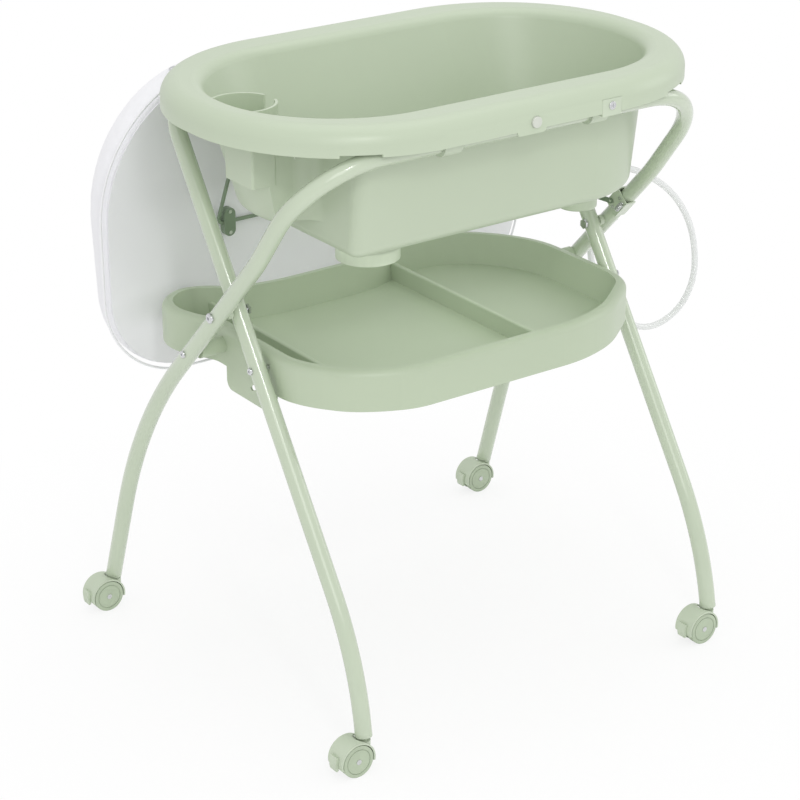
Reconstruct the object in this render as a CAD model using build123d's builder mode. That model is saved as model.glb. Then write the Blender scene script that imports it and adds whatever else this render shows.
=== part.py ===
from build123d import *
import os
from math import asin, cos, pi, radians, sin, tan

os.makedirs("parts", exist_ok=True)

# Baby bath with a changing mat, on a scissor frame of bent tube with four casters.
# Millimetres. Origin on the floor, midway between the four caster stems.
# +X is to the right, -Y is the front, +Z is up.

# General fits
wall = 3
seat_gap = 0.3
run_gap = 0.05
overrun = 2
edge_r = 1

# Frame tubes
tube_d = 25
tube_bore = 22
foot_y = 314.5
tube_end_z = 56

# Outer frame: its front bar carries the bath's hinge, its legs end at the back
outer_foot_half = 371
outer_knee_half = 364
outer_knee_y = 217
outer_knee_z = 356
outer_elbow_half = 353
outer_elbow_y = -109.5
outer_elbow_z = 700
outer_top_half = 350
front_bar_y = -235
front_bar_z = 864
outer_knee_r = 751
outer_elbow_r = 400
front_bend_r = 126

# Inner frame: its rear bar carries the back of the bath, its legs end at the front
inner_foot_half = 325
inner_half = 323
inner_knee_y = -297
inner_knee_z = 161.5
inner_knee_r = 480
rear_bar_y = 183.27
rear_bar_z = 885
rear_bend_r = 85
seam_z = 547
spigot_length = 80

# Bath
tub_length = 792
tub_width = 514
tub_y = -17.5
rim_top_z = 911
skirt_depth = 40
rim_corner_r = 244
rim_outer_r = 26
rim_inner_r = 18
mouth_half = 342
mouth_front_y = -205
mouth_rear_y = 161
mouth_corner_r = 180
floor_left_x = -302
floor_right_x = 312
floor_front_y = -187
floor_rear_y = 92
floor_corner_r = 138
tub_depth = 202
basin_edge_r = 12
step_corner_r = 16
step_x = -245
step_front_y = -85
step_bottom_rise = 36
step_r = 34
step_edge_r = 11
shelf_drop = 37

# Fittings of the bath
front_foot_d = 92
front_foot_x = -160
front_foot_y = -95
front_foot_drop = 38
drain_boss_d = 60
drain_x = 243
drain_y = -68
drain_boss_drop = 52
drain_hole_d = 36
plug_flange_d = 46
plug_flange_t = 3
holder_r = 47
holder_x = -303
holder_y = -2
holder_height = 34
holder_drop = 17
holder_wall = 4
holder_gap = 26
pocket_width = 40
pocket_length = 70
pocket_depth = 74
pocket_x = -325
pocket_y = -55
tab_drop = 17
tab_width = 17
tab_x = -307
tab_y = -150
saddle_x = 190
saddle_t = 5
saddle_wrap = 6
button_d = 16
button_x = -7
button_z = 881
button_proud = 3.5
button_flange_d = 17.5
button_flange_gap = 1.4
button_depth = 9
bar_relief = 4
bar_relief_depth = 62
bar_relief_near = 246
bar_relief_far = 296
lip_width = 49
lip_x = -13.5
lip_drop = 6
clip_x = 127
clip_width = 30
clip_wall = 4.5
clip_tab_width = 34
clip_tab_height = 20
clip_tab_t = 3
clip_tab_r = 4
clip_screw_d = 6
clip_screw_head_t = 2
drain_spigot_d = 16
drain_spigot_length = 16
drain_spigot_drop = 34
drain_spigot_angle = 32

# Hose, its route chosen by hand: out under the right end, down outside the legs and up to its clip
hose_d = 10.5
hose_bore = 8
hose_route = [
    (282.01, -43.62, 672), (322.72, -18.19, 672), (366, -6, 674), (414, 8, 661), (467, 20, 634),
    (518, 34, 601), (560, 46, 562), (594, 56, 516), (617, 66, 463), (628, 77, 406), (615, 92, 352),
    (572, 106, 322), (522, 109, 334), (477, 106, 372), (441, 104, 420), (419, 101, 474), (413, 98, 529),
    (399, 96, 583), (377, 93, 634), (363, 87, 688), (361, 77, 741), (360, 70, 790), (360, 70, 836),
]
hose_clip_length = 16
hose_clip_wall = 3
hose_share = 0.45
outline_share = 0.47

# How far the frame folds
fold_angle = 25

# Tray
tray_top_z = 544
tray_skirt = 60
tray_rim = 16
tray_half = 306
tray_front_y = -229
tray_floor_rise = 10
tray_edge_r = 10
tray_bolt_y = 66
tray_bolt_z = 515
tray_bolt_rise = 7
slot_middle_share = 0.5
slot_gap = 0.8
tray_boss_d = 24
divider_left_x = -240
divider_right_x = 82
divider_t = 8
divider_height = 30
ear_drop = 34
ear_length = 132
ear_y = -10
ear_r = 14
tray_ratio = -0.96
tray_taper_angle = 8
tray_outline_shares = [
    (-1, 0.38), (-1.06, 0.50), (-1.11, 0.72), (-1.06, 0.93), (-0.92, 1.05), (-0.78, 1.0), (-0.66, 0.86),
    (-0.45, 0.81), (0.1, 0.82), (0.3, 0.93), (0.55, 0.96), (0.74, 0.85), (0.9, 0.62), (1, 0.34),
    (1, -0.43), (0.95, -0.6), (0.84, -0.72), (0.66, -0.9), (0.42, -1),
    (-0.55, -1), (-0.7, -0.92), (-0.84, -0.8), (-0.95, -0.6), (-1, -0.43),
]

# Mat and its wire bail
mat_face_y = 259
mat_half = 392
mat_top_z = 874
mat_low_z = 401
mat_border_top = 74
mat_border_low = 34
mat_border_width = 58
mat_panel_t = 18
mat_board_t = 3
mat_upper_r = 225
mat_lower_r = 135
mat_crown = 6
mat_edge_r = 11
bail_d = 6
bail_pivot_y = 247
bail_pivot_z = 866
bail_bar_y = 249
bail_bar_z = 625
bail_pivot_half = 138
bail_shoulder_half = 162
bail_jog = 54
bail_bar_half = 198
bail_bend_r = 8
bail_shoulder_drop = 4
clamp_length = 45
clamp_width = 20
clamp_t = 6
clamp_x = 178
bail_bracket_x = 146
bail_bracket_width = 12
bail_bracket_rise = 14
mat_eyelet_places = [-238, -200]
mat_eyelet_d = 12
clamp_screw_d = 6

# Casters
wheel_d = 50
wheel_t = 12
wheel_web = 11
caster_trail = 20
stem_d = 10
axle_d = 6
hood_gap = 1.2
hood_t = 2.5
hood_boss_d = 20
brake_width = 16

plug_shank = 16
plug_slack = 0.6
plug_collar = 5
plug_r = 2
stem_rise = 12
hood_boss_z = 46.8
hood_recess_r = 15.6
hood_low = -6
hub_drop = 8
groove_share = 0.78
brake_t = 4
brake_high_angle = -22
brake_low_angle = 18

# Scissor pivot
pivot_nut_t = 3.6
tray_nut_t = 4
pivot_d = 8
pivot_head_d = 15
pivot_head_t = 4
bolt_d = 6
bolt_head_d = 11
bolt_head_t = 3

# Latch on the right leg: a folded bracket round the outer leg and an arm that reaches to the inner leg
latch_z = 634
latch_length = 38
latch_fit = 0.6
latch_t = 2
latch_wrap = 17
latch_pin_y = -36
latch_pin_d = 4
latch_arm_x = 337.3
latch_arm_y = 22
latch_arm_z = 631
latch_arm_width = 8
latch_hook_depth = 7
latch_hook_width = 4
spring_d = 8
spring_wire = 1.4
spring_length = 18
spring_y = -52
spring_z = 624
rivet_d = 6
rivet_t = 1
rivet_reach = 13



def line_cross(a, b, c, d):
    """Where the line through a and b meets the line through c and d, in the plane of y and z."""
    share = ((c[0] - a[0]) * (d[1] - c[1]) - (c[1] - a[1]) * (d[0] - c[0]))
    share /= ((b[0] - a[0]) * (d[1] - c[1]) - (b[1] - a[1]) * (d[0] - c[0]))
    return a[0] + share * (b[0] - a[0]), a[1] + share * (b[1] - a[1])


def along(a, b, z):
    """The point of the line through a and b that is at height z."""
    share = (z - a[2]) / (b[2] - a[2])
    return tuple(a[i] + share * (b[i] - a[i]) for i in range(3))


def mirrored(point):
    return (-point[0], point[1], point[2])


# Route corners of the two frames
outer_foot = (-outer_foot_half, foot_y, tube_end_z)
outer_knee = (-outer_knee_half, outer_knee_y, outer_knee_z)
outer_elbow = (-outer_elbow_half, outer_elbow_y, outer_elbow_z)
outer_top = (-outer_top_half, front_bar_y, front_bar_z)
inner_foot = (-inner_foot_half, -foot_y, tube_end_z)
inner_knee = (-inner_half, inner_knee_y, inner_knee_z)
inner_top = (-inner_half, rear_bar_y, rear_bar_z)
seam = along(inner_knee, inner_top, seam_z)

# Where the legs cross
pivot_y, pivot_z = line_cross(outer_knee[1:], outer_elbow[1:], inner_knee[1:], inner_top[1:])
outer_at_pivot = along(outer_knee, outer_elbow, pivot_z)
outer_at_tray = along(outer_knee, outer_elbow, tray_bolt_z)

# Heights of the bath that follow from its driving sizes
skirt_z = rim_top_z - skirt_depth
floor_z = rim_top_z - tub_depth
shelf_z = rim_top_z - shelf_drop + wall
mouth_z = rim_top_z - rim_inner_r
tray_low_z = tray_top_z - tray_skirt


def bent_tube(points, radii, outer_d, bore_d=0):
    """A round tube along straight runs joined by tangent arcs."""
    with BuildPart() as tube:
        with BuildLine() as path:
            FilletPolyline(*points, radius=radii)
        with BuildSketch(Plane(origin=path.line @ 0, z_dir=path.line % 0)):
            Circle(outer_d / 2)
            if bore_d:
                Circle(bore_d / 2, mode=Mode.SUBTRACT)
        sweep(path=path.line)
    return tube.part


def rod(start, end, diameter, bore_d=0):
    """A straight round bar, or a sleeve, from one point to another."""
    a, b = Vector(*start), Vector(*end)
    with BuildPart() as bar:
        with BuildSketch(Plane(origin=a, z_dir=b - a)):
            Circle(diameter / 2)
            if bore_d:
                Circle(bore_d / 2, mode=Mode.SUBTRACT)
        extrude(amount=(b - a).length)
    return bar.part


def between(low, high, z):
    """A size that runs evenly from its value at the bath's floor to its value at the mouth."""
    return low + (high - low) * (z - floor_z) / (mouth_z - floor_z)


def basin_block(inset, low_z, high_z):
    """The bath's drafted basin as a solid. A negative inset gives its outside."""
    with BuildPart() as block:
        for z in (low_z, high_z):
            left = between(floor_left_x, -mouth_half, z) + inset
            right = between(floor_right_x, mouth_half, z) - inset
            front = between(floor_front_y, mouth_front_y, z) + inset
            rear = between(floor_rear_y, mouth_rear_y, z) - inset
            corner = between(floor_corner_r, mouth_corner_r, z) - inset
            with BuildSketch(Plane((left / 2 + right / 2, front / 2 + rear / 2, z))):
                RectangleRounded(right - left, rear - front, min(corner, (rear - front) / 2 - edge_r))
        loft(ruled=True)
        shelf = shelf_z + inset
        step = floor_z + step_bottom_rise + inset
        # the front left of the basin is a shallow shelf, and the floor behind it is a step higher
        with BuildSketch(Plane.XY.offset(low_z)) as notch:
            with Locations((step_x + inset, step_front_y + inset)):
                Rectangle(tub_length, tub_width, align=(Align.MAX, Align.MAX))
            fillet(notch.vertices().sort_by(Axis.X)[-2:].sort_by(Axis.Y)[-1], step_r + inset)
        extrude(amount=shelf - low_z, mode=Mode.SUBTRACT)
        with BuildSketch(Plane.XY.offset(low_z)):
            with Locations((step_x + inset, 0)):
                Rectangle(tub_length, tub_length, align=(Align.MAX, Align.CENTER))
        extrude(amount=step - low_z, mode=Mode.SUBTRACT)
        # the front face runs on to a small corner where the shelf begins
        for z in (low_z, min(shelf, skirt_z + inset)):
            front = between(floor_front_y, mouth_front_y, z) + inset
            with BuildSketch(Plane((step_x + inset, front, z))) as corner:
                Rectangle(mouth_corner_r, mouth_corner_r, align=(Align.MIN, Align.MIN))
                fillet(corner.vertices().group_by(Axis.X)[0].sort_by(Axis.Y)[0], step_corner_r - inset)
        loft(ruled=True)
        bottom = block.faces().filter_by(Axis.Z).sort_by(Axis.Z)[0]
        fillet(bottom.edges(), basin_edge_r - inset)
        if inset < 0:
            lobe = [face for face in block.faces().filter_by(Axis.Z) if abs(face.center().Z - step) < edge_r]
            edges = [edge for edge in lobe[0].edges() if edge.center().X < step_x + inset - edge_r]
            fillet([edge for edge in edges if edge.center().Y > step_front_y - edge_r], step_edge_r)
    return block


def rim_block(inset, low_z, high_z, radius):
    """The bath's rim: a rounded rectangle with a rolled top edge."""
    with BuildPart() as block:
        with BuildSketch(Plane((0, tub_y, low_z))):
            RectangleRounded(tub_length - 2 * inset, tub_width - 2 * inset, rim_corner_r - inset)
        extrude(amount=high_z - low_z)
        fillet(block.faces().sort_by(Axis.Z)[-1].edges(), radius)
    return block.part


# Bath shell: a rolled rim over a drafted basin, moulded in one with its small fittings
with BuildPart() as hanging_tab:
    with BuildSketch(Plane((tab_x, tab_y, skirt_z - tab_drop))):
        Rectangle(tab_width, wall)
    extrude(amount=tab_drop + skirt_depth)

with BuildPart() as rim_hollow:
    add(rim_block(wall, skirt_z - overrun, rim_top_z - wall, rim_outer_r - wall))
    add(basin_block(-wall, floor_z - wall, rim_top_z).part, mode=Mode.SUBTRACT)
    fillet(rim_hollow.faces().sort_by(Axis.Z)[-1].inner_wires()[0].edges(), rim_inner_r - wall)
    add(hanging_tab.part, mode=Mode.SUBTRACT)

basin_outside = basin_block(-wall, floor_z - wall, skirt_z + wall).part
basin_inside = basin_block(0, floor_z, rim_top_z + overrun).part

with BuildPart() as holder_ring:
    with BuildSketch(Plane((holder_x, holder_y, rim_top_z - holder_drop))):
        Circle(holder_r + holder_wall / 2)
        Circle(holder_r - holder_wall / 2, mode=Mode.SUBTRACT)
        Rectangle(2 * holder_r, holder_gap, align=(Align.MIN, Align.CENTER), mode=Mode.SUBTRACT)
    extrude(amount=-holder_height)
    fillet(holder_ring.edges().filter_by(Axis.Z), holder_wall / 2 - edge_r / 2)
    add(basin_block(-wall / 2, floor_z, rim_top_z).part, mode=Mode.INTERSECT)

with BuildPart() as bar_saddles:
    with BuildSketch(Plane.XY.offset(rear_bar_z + tube_d / 2 - saddle_wrap)):
        with Locations((-saddle_x, rear_bar_y), (saddle_x, rear_bar_y)):
            Rectangle(saddle_t, tub_width, align=(Align.CENTER, Align.CENTER))
    extrude(amount=skirt_depth)
    with BuildSketch(Plane.XY.offset(floor_z)):
        with Locations((0, tub_y)):
            Rectangle(tub_length, tub_width, align=(Align.CENTER, Align.MAX))
    extrude(amount=tub_depth, mode=Mode.SUBTRACT)
    add(rim_hollow.part, mode=Mode.INTERSECT)
    add(rod((-tub_length, rear_bar_y, rear_bar_z), (tub_length, rear_bar_y, rear_bar_z),
            tube_d + 2 * seat_gap), mode=Mode.SUBTRACT)

front_face_y = tub_y - tub_width / 2
rear_face_y = tub_y + tub_width / 2
drain_top_z = floor_z - wall

with BuildPart() as tub_shell:
    add(rim_block(0, skirt_z, rim_top_z, rim_outer_r))
    add(basin_inside, mode=Mode.SUBTRACT)
    fillet(tub_shell.faces().sort_by(Axis.Z)[-1].inner_wires()[0].edges(), rim_inner_r)
    add(rim_hollow.part, mode=Mode.SUBTRACT)
    add(basin_outside)
    # pocket and hanging tab under the left end
    with BuildSketch(Plane((pocket_x, pocket_y, shelf_z - wall))):
        RectangleRounded(pocket_width, pocket_length, holder_wall)
    extrude(amount=-pocket_depth)
    with BuildSketch(Plane((tab_x, tab_y, skirt_z - tab_drop))):
        Rectangle(tab_width, wall)
    extrude(amount=tab_drop + wall)
    add(basin_inside, mode=Mode.SUBTRACT)
    # foot ring under the front left
    with BuildSketch(Plane((front_foot_x, front_foot_y, drain_top_z))):
        Circle(front_foot_d / 2)
        Circle(front_foot_d / 2 - wall, mode=Mode.SUBTRACT)
    extrude(amount=-front_foot_drop)
    add(holder_ring.part)
    add(bar_saddles.part)
    # drain hole
    with BuildSketch(Plane((drain_x, drain_y, floor_z))):
        Circle(drain_hole_d / 2)
    extrude(amount=-2 * wall, mode=Mode.SUBTRACT)
    # lip below the skirt that carries the button
    with BuildSketch(Plane((lip_x, front_face_y, skirt_z), x_dir=(1, 0, 0), z_dir=(0, 1, 0))) as lip:
        Rectangle(lip_width, 2 * lip_drop)
        fillet(lip.vertices(), lip_drop - edge_r)
    extrude(amount=wall)
    with BuildSketch(Plane((button_x, front_face_y, button_z), x_dir=(1, 0, 0), z_dir=(0, 1, 0))):
        Circle(button_d / 2 + seat_gap)
    extrude(amount=2 * wall, mode=Mode.SUBTRACT)
    # notch for the hinge's tab, and relief over the bends of the front bar
    with BuildSketch(Plane((clip_x, front_face_y, skirt_z), x_dir=(1, 0, 0), z_dir=(0, 1, 0))):
        Rectangle(clip_tab_width + 2 * seat_gap, 2 * (clip_tab_height + seat_gap))
    extrude(amount=3 * wall, mode=Mode.SUBTRACT)
    with BuildSketch(Plane.XY.offset(skirt_z)):
        with Locations((-bar_relief_near, front_face_y), (bar_relief_far, front_face_y)):
            Rectangle(bar_relief_far - bar_relief_near, bar_relief_depth, align=(Align.MAX, Align.MIN))
    extrude(amount=bar_relief, mode=Mode.SUBTRACT)

# Drain: a cup under the basin with a side spigot for the hose, and a lift-out plug
spigot_way = Vector(1, 0, 0).rotate(Axis.Z, drain_spigot_angle)
drain_axis = Vector(drain_x, drain_y, drain_top_z - drain_spigot_drop)
spigot_end = drain_axis + spigot_way * (drain_boss_d / 2 + drain_spigot_length)
with BuildPart() as drain_cup:
    with BuildSketch(Plane((drain_x, drain_y, drain_top_z))):
        Circle(drain_boss_d / 2)
    extrude(amount=-drain_boss_drop)
    fillet(drain_cup.faces().sort_by(Axis.Z)[0].edges(), wall)
    add(rod(drain_axis, spigot_end, drain_spigot_d))
    with BuildSketch(Plane((drain_x, drain_y, drain_top_z))):
        Circle(drain_boss_d / 2 - 2 * wall)
    extrude(amount=wall - drain_boss_drop, mode=Mode.SUBTRACT)
    add(rod(drain_axis, spigot_end, hose_bore), mode=Mode.SUBTRACT)

with BuildPart() as drain_plug:
    with BuildSketch(Plane((drain_x, drain_y, floor_z + seat_gap))):
        Circle(plug_flange_d / 2)
    extrude(amount=plug_flange_t)
    fillet(drain_plug.faces().sort_by(Axis.Z)[-1].edges(), edge_r)
    with BuildSketch(Plane((drain_x, drain_y, floor_z + seat_gap))):
        Circle(drain_hole_d / 2 - seat_gap)
    extrude(amount=-2 * wall)
    with BuildSketch(Plane((drain_x, drain_y, floor_z + plug_flange_t))):
        Rectangle(plug_flange_d / 2, wall)
    extrude(amount=4 * wall)

# Round push button in the front skirt
with BuildPart() as front_button:
    add(rod((button_x, front_face_y - button_proud, button_z),
            (button_x, front_face_y + button_depth, button_z), button_d))
    fillet(front_button.faces().sort_by(Axis.Y)[0].edges(), edge_r)
    add(rod((button_x, front_face_y + wall + button_flange_gap, button_z),
            (button_x, front_face_y + 2 * wall, button_z), button_flange_d))

# Hinge clips that hold the bath on the front bar
with BuildPart() as tub_hinge_clips:
    for side in (-1, 1):
        x = side * clip_x
        add(rod((x - clip_width / 2, front_bar_y, front_bar_z), (x + clip_width / 2, front_bar_y, front_bar_z),
                tube_d + 2 * clip_wall))
        with BuildSketch(Plane((x, front_bar_y, front_bar_z))):
            Rectangle(clip_width, tube_d - clip_wall)
        extrude(amount=rim_top_z - wall - front_bar_z)
    with BuildSketch(Plane((clip_x, front_face_y, skirt_z - clip_wall))):
        Rectangle(clip_tab_width, clip_tab_t, align=(Align.CENTER, Align.MIN))
    extrude(amount=clip_tab_height + clip_wall)
    fillet(tub_hinge_clips.edges().filter_by(Axis.Y).group_by(Axis.Z)[-1], clip_tab_r)
    with BuildSketch(Plane((clip_x, front_face_y, skirt_z - clip_wall))):
        Rectangle(clip_width, front_bar_y - front_face_y, align=(Align.CENTER, Align.MIN))
    extrude(amount=clip_wall - seat_gap)
    add(rod((-tub_length, front_bar_y, front_bar_z), (tub_length, front_bar_y, front_bar_z),
            tube_d + 2 * run_gap), mode=Mode.SUBTRACT)

tab_screw_z = skirt_z + clip_tab_height / 2
with BuildPart() as hinge_screw:
    add(rod((clip_x, front_face_y - clip_screw_head_t, tab_screw_z), (clip_x, front_face_y, tab_screw_z),
            2 * clip_screw_d))
    fillet(hinge_screw.faces().sort_by(Axis.Y)[0].edges(), edge_r)
    with BuildSketch(Plane((clip_x, front_face_y - clip_screw_head_t, tab_screw_z), z_dir=(0, 1, 0))):
        Rectangle(clip_screw_d, edge_r)
        Rectangle(edge_r, clip_screw_d)
    extrude(amount=edge_r, mode=Mode.SUBTRACT)

# Frames
frame_bores = []
for side in (-1, 1):
    for place_y, place_z, bore in ((pivot_y, pivot_z, pivot_d), (outer_at_tray[1], tray_bolt_z, bolt_d)):
        frame_bores.append(rod((0, place_y, place_z), (side * tub_length, place_y, place_z),
                               bore + 2 * run_gap))

with BuildPart() as outer_frame_tube:
    half = [outer_foot, outer_knee, outer_elbow, outer_top]
    radii = [outer_knee_r, outer_elbow_r, front_bend_r]
    add(bent_tube(half + [mirrored(p) for p in half[::-1]], radii + radii[::-1], tube_d, tube_bore))
    for bore in frame_bores:
        add(bore, mode=Mode.SUBTRACT)

inner_bolt = along(inner_knee, inner_top, tray_bolt_z + tray_bolt_rise)
inner_bores = [rod((0, pivot_y, pivot_z), (side * tub_length, pivot_y, pivot_z), pivot_d + 2 * run_gap)
               for side in (-1, 1)]
inner_bores += [rod((0, inner_bolt[1], inner_bolt[2]), (side * tub_length, inner_bolt[1], inner_bolt[2]),
                    bolt_d + 2 * run_gap) for side in (-1, 1)]

with BuildPart() as inner_frame_bar:
    add(bent_tube([seam, inner_top, mirrored(inner_top), mirrored(seam)], [rear_bend_r, rear_bend_r],
                  tube_d, tube_bore))
    for bore in inner_bores:
        add(bore, mode=Mode.SUBTRACT)

leg_parts = {}
for side, place in ((-1, "left"), (1, "right")):
    with BuildPart() as inner_leg:
        leg = [inner_foot, inner_knee, seam]
        if side > 0:
            leg = [mirrored(p) for p in leg]
        add(bent_tube(leg, [inner_knee_r], tube_d, tube_bore))
        for bore in inner_bores:
            add(bore, mode=Mode.SUBTRACT)
    leg_parts["inner_leg_" + place] = inner_leg

with BuildPart() as leg_spigots:
    up = (Vector(*inner_top) - Vector(*seam)).normalized() * spigot_length / 2
    for point in (seam, mirrored(seam)):
        add(rod(Vector(*point) - up, Vector(*point) + up, tube_bore - 2 * run_gap, tube_bore - 2 * wall))
    for bore in inner_bores:
        add(bore, mode=Mode.SUBTRACT)


def leg_plug(foot, knee):
    """The plastic end plug of a leg: a shank inside the tube, a collar below it, a bore for the stem."""
    down = (Vector(*foot) - Vector(*knee)).normalized()
    with BuildPart() as plug:
        add(rod(foot, Vector(*foot) - down * plug_shank, tube_bore - 2 * plug_slack))
        add(rod(foot, Vector(*foot) + down * plug_collar, tube_d))
        fillet(plug.faces().sort_by(Axis.Z)[0].edges(), plug_r)
        add(rod((foot[0], foot[1], 0), (foot[0], foot[1], tube_end_z + stem_rise + seat_gap),
                stem_d + 2 * run_gap), mode=Mode.SUBTRACT)
    return plug.part


with BuildPart() as outer_leg_plugs:
    for side in (-1, 1):
        foot, knee = (outer_foot, outer_knee) if side < 0 else (mirrored(outer_foot), mirrored(outer_knee))
        add(leg_plug(foot, knee))

with BuildPart() as inner_leg_plugs:
    for side in (-1, 1):
        foot, knee = (inner_foot, inner_knee) if side < 0 else (mirrored(inner_foot), mirrored(inner_knee))
        add(leg_plug(foot, knee))


def cross_bolt(side, start, end, place_y, place_z, diameter, head_d, head_t):
    """A bolt along X with a domed head at its outer end and a socket in the head."""
    a, b = side * start, side * end
    with BuildPart() as bolt:
        add(rod((a, place_y, place_z), (b, place_y, place_z), diameter))
        add(rod((b, place_y, place_z), (b + side * head_t, place_y, place_z), head_d))
        far = bolt.faces().filter_by(Axis.X).sort_by(Axis.X)[-1 if side > 0 else 0]
        fillet(far.edges(), head_t / 2)
        with BuildSketch(Plane((b + side * head_t, place_y, place_z), z_dir=(-side, 0, 0))):
            RegularPolygon(diameter / 3, 6)
        extrude(amount=head_t / 2, mode=Mode.SUBTRACT)
    return bolt.part


# Latch: the bracket's plane follows the right outer leg
leg_foot, leg_top = Vector(*mirrored(outer_knee)), Vector(*mirrored(outer_elbow))
latch_seat = Vector(*along(tuple(leg_foot), tuple(leg_top), latch_z))
leg_way = (leg_top - leg_foot).normalized()
latch_plane = Plane(origin=latch_seat - leg_way * latch_length / 2, x_dir=(-1, 0, 0), z_dir=leg_way)
bracket_in = tube_d / 2 + latch_fit
latch_web_x = latch_seat.X - bracket_in - latch_t
with BuildPart() as latch_bracket:
    with BuildSketch(latch_plane):
        with Locations((bracket_in + latch_t, 0)):
            Rectangle(latch_wrap + latch_t, 2 * bracket_in + 2 * latch_t, align=(Align.MAX, Align.CENTER))
        with Locations((bracket_in, 0)):
            Rectangle(latch_wrap, 2 * bracket_in, align=(Align.MAX, Align.CENTER), mode=Mode.SUBTRACT)
    extrude(amount=latch_length)
    add(rod((latch_seat.X - bracket_in - latch_t / 2, latch_pin_y, latch_z),
            (latch_arm_x - latch_t / 2, latch_pin_y, latch_z), latch_pin_d))

with BuildPart() as latch_arm:
    with BuildSketch(Plane((latch_arm_x, latch_pin_y, latch_z), x_dir=(0, 1, 0), z_dir=(1, 0, 0))):
        reach = (latch_arm_y - latch_pin_y, latch_arm_z - latch_z)
        SlotCenterPoint((reach[0] / 2, reach[1] / 2), reach, latch_arm_width)
        with Locations(reach):
            Rectangle(latch_hook_width, latch_hook_depth, align=(Align.CENTER, Align.MAX), mode=Mode.SUBTRACT)
        Circle(latch_pin_d / 2 + run_gap, mode=Mode.SUBTRACT)
    extrude(amount=latch_t)

with BuildPart() as latch_spring:
    spring_x = latch_web_x - seat_gap - spring_d / 2
    spring_end = Vector(spring_x, spring_y, spring_z)
    add(rod(spring_end, spring_end + leg_way * spring_length, spring_d, spring_d - 2 * spring_wire))

with BuildPart() as latch_rivets:
    for way in (-1, 1):
        face = latch_seat + leg_way * way * rivet_reach + latch_plane.x_dir * (bracket_in + latch_t)
        add(rod(face, face + latch_plane.x_dir * rivet_t, rivet_d))

inner_side = inner_half - tube_d / 2
pivot_outer = -outer_at_pivot[0] + tube_d / 2 + seat_gap
tray_outer = -outer_at_tray[0] + tube_d / 2 + seat_gap
with BuildPart() as pivot_bolts:
    for side in (-1, 1):
        add(cross_bolt(side, inner_side - seat_gap - pivot_nut_t, pivot_outer, pivot_y, pivot_z,
                       pivot_d, pivot_head_d, pivot_head_t))

with BuildPart() as pivot_nuts:
    for side in (-1, 1):
        with BuildSketch(Plane((side * (inner_side - seat_gap), pivot_y, pivot_z), z_dir=(-side, 0, 0))):
            RegularPolygon(pivot_d, 6)
            Circle(pivot_d / 2 + run_gap, mode=Mode.SUBTRACT)
        extrude(amount=pivot_nut_t)

with BuildPart() as pivot_spacers:
    for side in (-1, 1):
        near = side * (inner_half + tube_d / 2 + seat_gap)
        far = side * (-outer_at_pivot[0] - tube_d / 2 - seat_gap)
        add(rod((near, pivot_y, pivot_z), (far, pivot_y, pivot_z), 2 * pivot_d, pivot_d + 2 * run_gap))

with BuildPart() as tray_bolts_outer:
    for side in (-1, 1):
        add(cross_bolt(side, tray_half + wall, tray_outer, outer_at_tray[1], tray_bolt_z,
                       bolt_d, bolt_head_d, bolt_head_t))

with BuildPart() as tray_bolts_inner:
    for side in (-1, 1):
        add(cross_bolt(side, tray_half - wall - tray_nut_t - seat_gap, inner_half + tube_d / 2,
                       inner_bolt[1], inner_bolt[2], bolt_d, bolt_head_d, bolt_head_t))

with BuildPart() as tray_nuts:
    for side in (-1, 1):
        with BuildSketch(Plane((side * (tray_half - wall - seat_gap), inner_bolt[1], inner_bolt[2]),
                               z_dir=(-side, 0, 0))):
            Circle(bolt_head_d / 2)
            Circle(bolt_d / 2 + run_gap, mode=Mode.SUBTRACT)
        extrude(amount=tray_nut_t)


def turned(point, centre, angle):
    """A point of the plane of y and z turned about a centre, +Y towards +Z."""
    dy, dz = point[0] - centre[0], point[1] - centre[1]
    c, s = cos(radians(angle)), sin(radians(angle))
    return centre[0] + dy * c - dz * s, centre[1] + dy * s + dz * c


def slot_point(share):
    """Where the inner frame's bolt stands in the tray when a share of the fold is done."""
    angle = share * fold_angle
    place = turned((inner_bolt[1], inner_bolt[2]), (pivot_y, pivot_z), angle)
    return turned(place, (outer_at_tray[1], tray_bolt_z), -tray_ratio * angle)


def round_radii(points):
    """The largest arc at each corner of a closed outline that its two sides have room for."""
    radii = []
    for i in range(len(points)):
        a, b, c = (Vector(*points[(i + j) % len(points)]) for j in (-1, 0, 1))
        turn = radians((b - a).get_angle(c - b))
        radii.append(outline_share * min((b - a).length, (c - b).length) / tan(turn / 2))
    return radii


def tray_outline(z, inset):
    """The tray's plan, drawn in from its outer edge by an inset."""
    with BuildSketch(Plane.XY.offset(z)) as outline:
        with BuildLine():
            points = [(x * tray_half, -y * tray_front_y) for x, y in tray_outline_shares]
            FilletPolyline(*points, radius=round_radii(points), close=True)
        make_face()
        if inset:
            offset(amount=-inset, kind=Kind.INTERSECTION)
    return outline.sketch


slot_path = ThreePointArc(slot_point(0), slot_point(slot_middle_share), slot_point(1))

# Tray: a deep skirt, a rolled rim and a drafted floor with two dividers
with BuildPart() as tray_inside:
    tray_floor_z = tray_low_z + tray_floor_rise
    draft = (tray_top_z + overrun - tray_floor_z) * tan(radians(tray_taper_angle))
    add(tray_outline(tray_floor_z, tray_rim + draft))
    add(tray_outline(tray_top_z + overrun, tray_rim))
    loft(ruled=True)

with BuildPart() as tray_outside:
    add(tray_outline(tray_floor_z - wall, tray_rim - wall + draft))
    add(tray_outline(tray_top_z + overrun, tray_rim - wall))
    loft(ruled=True)

with BuildPart() as tray_hollow:
    add(tray_outline(tray_low_z - overrun, wall))
    extrude(amount=tray_skirt + overrun - wall)
    fillet(tray_hollow.faces().sort_by(Axis.Z)[-1].edges(), tray_edge_r - wall)
    add(tray_outside.part, mode=Mode.SUBTRACT)

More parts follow.
